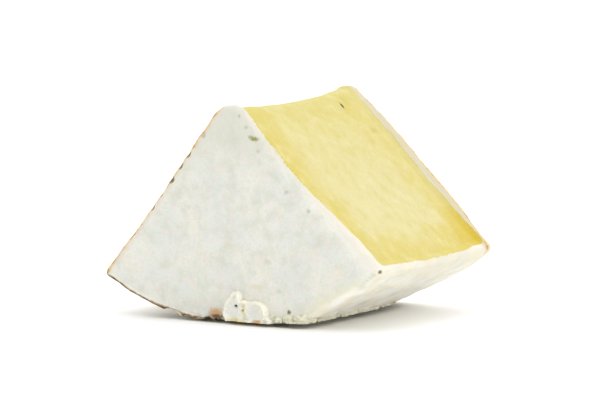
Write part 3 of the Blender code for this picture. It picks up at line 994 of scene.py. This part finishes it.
def paste_colour(shader, stored):
    """Pale yellow, deeper towards the rind and deepest in the low back corner, with streaks."""
    numbers = {**stored, **shader.noises(PASTE_NOISES)}
    swing = shader.swing(numbers["broad"], PASTE_DEPTH_SWING)
    numbers["depth"] = shader.math("ADD", stored["inset"], swing)
    along = shader.math("DIVIDE", stored["from_axis"], PASTE_STREAK_LENGTH)
    across = shader.math("DIVIDE", shader.millimetres(shader.place, 1), PASTE_STREAK_WIDTH)
    numbers["streaks"] = shader.noise(*STREAK_NOISE, place=shader.combine(along, across))
    numbers["slit"] = slit_reach(shader)
    colour = shader.lay(PASTE_PALE, PASTE_LAYERS, numbers)
    corner, broad = on_cut(AMBER_FROM_AXIS, AMBER_Y), numbers["broad"]
    sizes = (AMBER_REACH, AMBER_REACH, AMBER_REACH)
    colour = shader.dab(
        colour, PASTE_AMBER, corner, sizes, AMBER_STRENGTH, broad, softness=AMBER_SOFTNESS
    )
    return shader.lay(colour, STREAK_LAYERS + SLIT_LAYERS, numbers)


def wedge_material(origin):
    """Rind and paste in one material, which parts them at the lips by the stored distance."""
    shader = Shader("cheese", origin)
    stored = {name: shader.attribute(name) for name in STORED}
    stored["x"] = shader.millimetres(shader.own_place, 0)
    noises = shader.noises(WEDGE_NOISES)
    paste = shader.shown(PASTE_BORDER, {**stored, **noises})
    colour = shader.mix(paste, rind_colour(shader, stored), paste_colour(shader, stored))
    roughness = shader.between(paste, 0.0, 1.0, RIND_ROUGHNESS, PASTE_ROUGHNESS)
    rind_height = shader.math("ADD", noises["velvet"], noises["pores"])
    paste_height = shader.math("MULTIPLY", noises["grain"], PASTE_BUMP_SHARE)
    height = shader.mix_number(paste, rind_height, paste_height)
    normal = shader.bump(height, *WEDGE_BUMP)
    return shader.finish(colour, roughness, WEDGE_LIGHT_DEPTH, normal)


def torn_material(name, origin, layers, marks=()):
    """Cream-white torn rind, yellower towards the floor, with more layers and marks on it."""
    shader = Shader(name, origin)
    numbers = shader.noises(TORN_NOISES)
    numbers["height"] = shader.millimetres(shader.place, 2)
    numbers["within"] = shader.attribute("within")
    fine = numbers["fine"]
    colour = shader.lay(FLAKE_WHITE, TORN_LAYERS + layers, numbers)
    colour = add_marks(shader, colour, marks, FLAKE_MARK_OUT, FLAKE_MARK_REACH, fine)
    normal = shader.bump(fine, *TORN_BUMP)
    return shader.finish(colour, TORN_ROUGHNESS, TORN_LIGHT_DEPTH, normal)


def finish_piece(piece, material, origin):
    """Puts a piece on the frame's origin, with its material, as part of the cheese."""
    set_points(piece.data, get_points(piece.data) - origin)
    bpy.context.scene.collection.objects.link(piece)
    piece.data.materials.append(material)
    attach(piece, "root")
    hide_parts(NODE)


def make_cheese():
    """All pieces of the cheese, moved so that the origin is on the floor below their middle."""
    wedge, flake, crumbs = make_wedge(), make_flake(), make_crumbs()
    points = np.concatenate([get_points(piece.data) for piece in (wedge, flake, crumbs)])
    middle = (points.min(axis=0) + points.max(axis=0)) / 2
    origin = np.array([middle[0], middle[1], -AXIS_HEIGHT])
    finish_piece(wedge, wedge_material(origin), origin)
    finish_piece(flake, torn_material("torn_rind", origin, FLAKE_LAYERS, FLAKE_MARKS), origin)
    finish_piece(crumbs, torn_material("crumbs", origin, CRUMB_LAYERS), origin)


# Floor, soft light and camera
FLOOR_SIZE, FLOOR_DROP = 16.0, 0.05 * MM
FLOOR_COLOUR, FLOOR_ROUGHNESS = (249, 249, 249), 0.8
LIGHTS = (  # name, place, size and power
    ("overhead", (-0.3, 0.6, 3.0), 8.0, 215.0),
    ("fill", (1.3, -0.25, 0.06), 0.6, 7.0),
)
WORLD_STRENGTH = 0.62
CAMERA_AZIMUTH, CAMERA_ELEVATION, CAMERA_DISTANCE = math.radians(30.84), math.radians(5.69), 1.4927
CAMERA_TARGET = Vector((0, 0, 41 * MM))
LENS = 228.0


def make_floor():
    """A plain pale floor far wider than the view."""
    plane = bmesh.new()
    bmesh.ops.create_grid(plane, x_segments=1, y_segments=1, size=FLOOR_SIZE / 2)
    mesh = bpy.data.meshes.new("floor")
    plane.to_mesh(mesh)
    plane.free()
    floor = bpy.data.objects.new("floor", mesh)
    floor.location.z = -FLOOR_DROP
    bpy.context.scene.collection.objects.link(floor)
    shader = Shader("pale_floor")
    shader.put(shader.surface.inputs["Base Color"], FLOOR_COLOUR)
    shader.put(shader.surface.inputs["Roughness"], FLOOR_ROUGHNESS)
    floor.data.materials.append(shader.material)


def make_light(name, place, size, power):
    """A square soft light at a place, aimed at the cheese."""
    data = bpy.data.lights.new(name, "AREA")
    data.size, data.energy = size, power
    light = bpy.data.objects.new(name, data)
    light.location = place
    light.rotation_euler = (CAMERA_TARGET - light.location).to_track_quat("-Z", "Y").to_euler()
    bpy.context.scene.collection.objects.link(light)


def make_camera():
    """The photograph's viewing angle."""
    data = bpy.data.cameras.new("camera")
    data.lens = LENS
    camera = bpy.data.objects.new("camera", data)
    level = math.cos(CAMERA_ELEVATION)
    sideways, forward = math.sin(CAMERA_AZIMUTH) * level, math.cos(CAMERA_AZIMUTH) * level
    back = Vector((sideways, -forward, math.sin(CAMERA_ELEVATION)))
    camera.location = CAMERA_TARGET + back * CAMERA_DISTANCE
    camera.rotation_euler = (-back).to_track_quat("-Z", "Y").to_euler()
    bpy.context.scene.collection.objects.link(camera)
    bpy.context.scene.camera = camera


def make_world():
    """Even white light from all round."""
    world = bpy.data.worlds.new("studio")
    world.use_nodes = True
    background = world.node_tree.nodes["Background"]
    background.inputs["Color"].default_value = (1, 1, 1, 1)
    background.inputs["Strength"].default_value = WORLD_STRENGTH
    bpy.context.scene.world = world


make_cheese()
make_floor()
for light in LIGHTS:
    make_light(*light)
make_camera()
make_world()
bpy.context.scene.view_settings.view_transform = "Standard"
